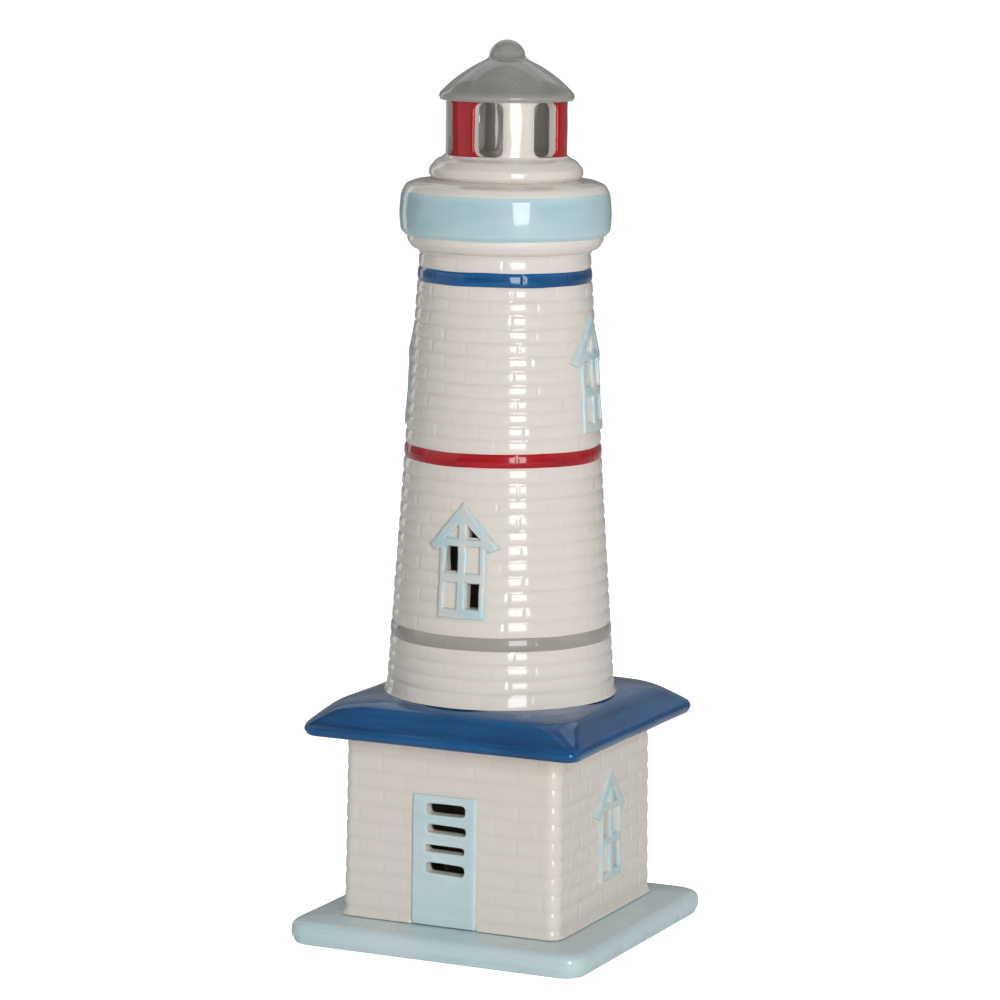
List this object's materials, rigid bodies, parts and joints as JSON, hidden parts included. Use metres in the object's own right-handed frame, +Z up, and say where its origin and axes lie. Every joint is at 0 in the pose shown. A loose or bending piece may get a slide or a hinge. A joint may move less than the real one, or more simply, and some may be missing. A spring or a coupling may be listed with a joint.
{
  "type": "lighthouse lantern figurine",
  "caption": "Glazed ceramic lighthouse lantern on a square brick house; the tower lifts off the house to reach a tealight inside.",
  "frame": {"origin": "middle of the plinth's underside, on the surface that the lantern stands on", "axes": "+Z up along the tower, -Y the way the door faces, +X to the right as the door is seen"},
  "size_m": [0.108, 0.108, 0.3],
  "materials": {
    "white_glaze": "glossy warm white glaze over brick relief",
    "pale_blue_glaze": "glossy pale blue glaze",
    "deep_blue_glaze": "glossy brushed-on deep blue glaze",
    "red_glaze": "glossy red glaze",
    "grey_glaze": "satin speckled grey glaze",
    "bare_clay": "matt unglazed fired clay",
    "cup_aluminium": "thin pressed foil",
    "candle_wax": "smooth translucent wax",
    "wick_cotton": "braided waxed cotton"
  },
  "bodies": {
    "house": {"plinth": "pale_blue_glaze", "house_walls": "white_glaze", "door_panel": "pale_blue_glaze", "house_window_right": "pale_blue_glaze", "house_window_left": "pale_blue_glaze", "house_window_back": "pale_blue_glaze"},
    "tower": {"roof_slab": "deep_blue_glaze", "locating_lip": "bare_clay", "tower_shell": "white_glaze", "grey_course": "grey_glaze", "red_course": "red_glaze", "blue_course": "deep_blue_glaze", "tower_window_front": "pale_blue_glaze", "tower_window_right": "pale_blue_glaze", "tower_window_back": "pale_blue_glaze", "tower_window_left": "pale_blue_glaze", "gallery_moulding": "white_glaze", "gallery_band": "pale_blue_glaze", "gallery_deck": "white_glaze", "lantern_step": "white_glaze", "lantern_posts_white": "white_glaze", "lantern_posts_red": "red_glaze", "lantern_roof": "grey_glaze", "roof_knob": "grey_glaze"},
    "tealight": {"tealight_cup": "cup_aluminium", "tealight_wax": "candle_wax", "wick_sustainer": "cup_aluminium", "wick": "wick_cotton"}
  },
  "joints": [
    {"name": "tower_lift", "type": "slide", "parent": "house", "child": "tower", "axis": [0, 0, 1], "range_m": [0, 0.12]},
    {"name": "tealight_lift", "type": "slide", "parent": "house", "child": "tealight", "axis": [0, 0, 1], "range_m": [0, 0.075]}
  ]
}
